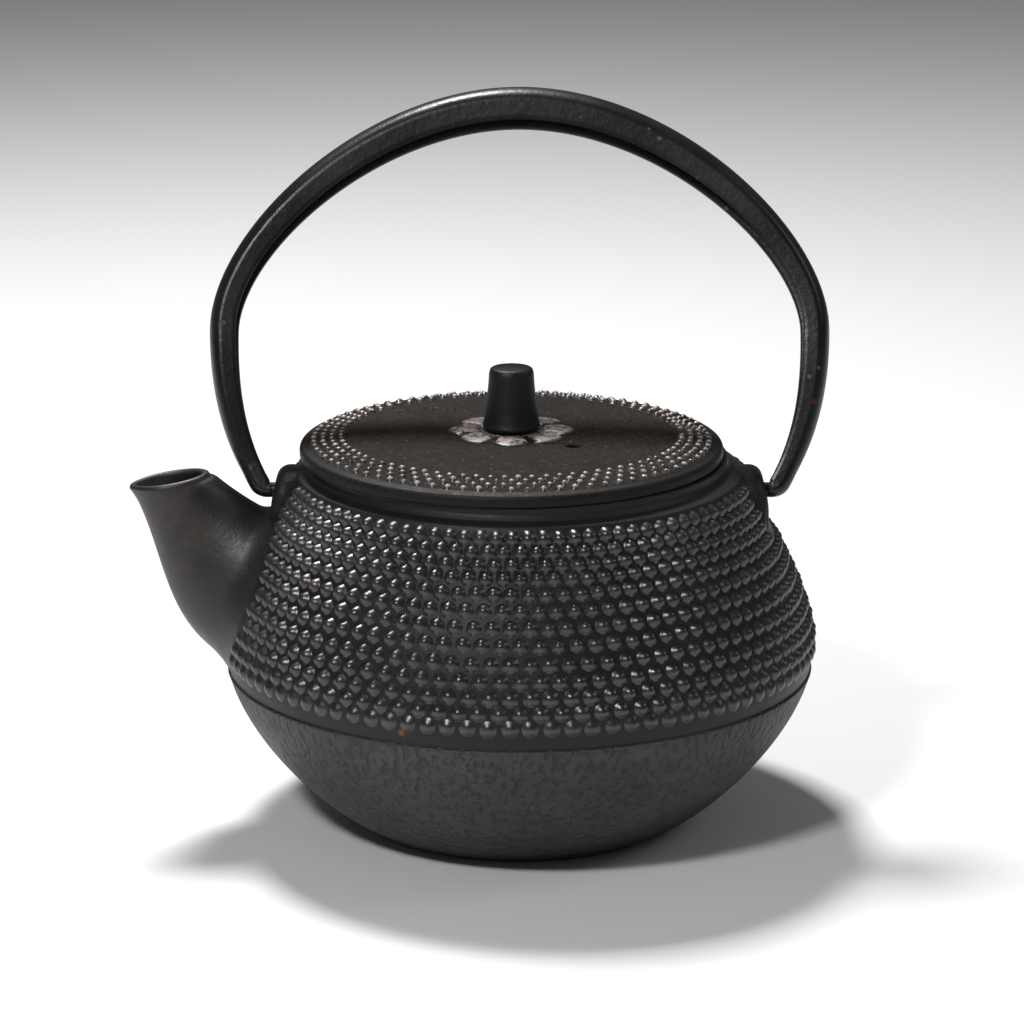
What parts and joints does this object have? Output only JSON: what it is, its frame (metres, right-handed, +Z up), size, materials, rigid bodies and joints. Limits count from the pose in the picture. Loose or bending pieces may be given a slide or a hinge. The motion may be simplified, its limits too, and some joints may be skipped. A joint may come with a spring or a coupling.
{
  "type": "teapot",
  "caption": "Cast iron teapot with a studded upper body, a flat studded lid with a round knob, a swinging bail handle and a lift-out steel strainer.",
  "frame": {"origin": "on the table, at the centre of the flat foot", "axes": "+Z up, -X along the spout, and the bail turns about a line parallel to X through the two ears"},
  "size_m": [0.17, 0.143, 0.1742],
  "materials": {
    "iron": "near-black cast iron, satin on the studs and matte on the lower bowl",
    "dark_iron": "black lacquered iron, semi-gloss",
    "lid_iron": "brown-black iron with a rusty mottle",
    "steel": "stainless steel sheet and fine mesh"
  },
  "bodies": {
    "pot": {"pot_bowl": "iron", "pot_shoulder": "iron", "spout": "iron", "ear_left": "iron", "ear_right": "iron"},
    "bail": {"bail_handle": "dark_iron"},
    "strainer": {"strainer_rim": "steel", "strainer_wall": "steel", "strainer_base_ring": "steel", "strainer_base": "steel"},
    "lid": {"lid": "lid_iron", "lid_knob": "dark_iron", "knob_flower_seat": "dark_iron", "knob_washer": "iron"}
  },
  "joints": [
    {"name": "bail_swing", "type": "hinge", "parent": "pot", "child": "bail", "pos_m": [0, 0, 0.0814], "axis": [1, 0, 0], "range_deg": [-73, 117]},
    {"name": "strainer_lift", "type": "slide", "parent": "pot", "child": "strainer", "axis": [0, 0, 1], "range_m": [0, 0.052]},
    {"name": "lid_lift", "type": "slide", "parent": "strainer", "child": "lid", "axis": [0, 0, 1], "range_m": [0, 0.05]}
  ]
}
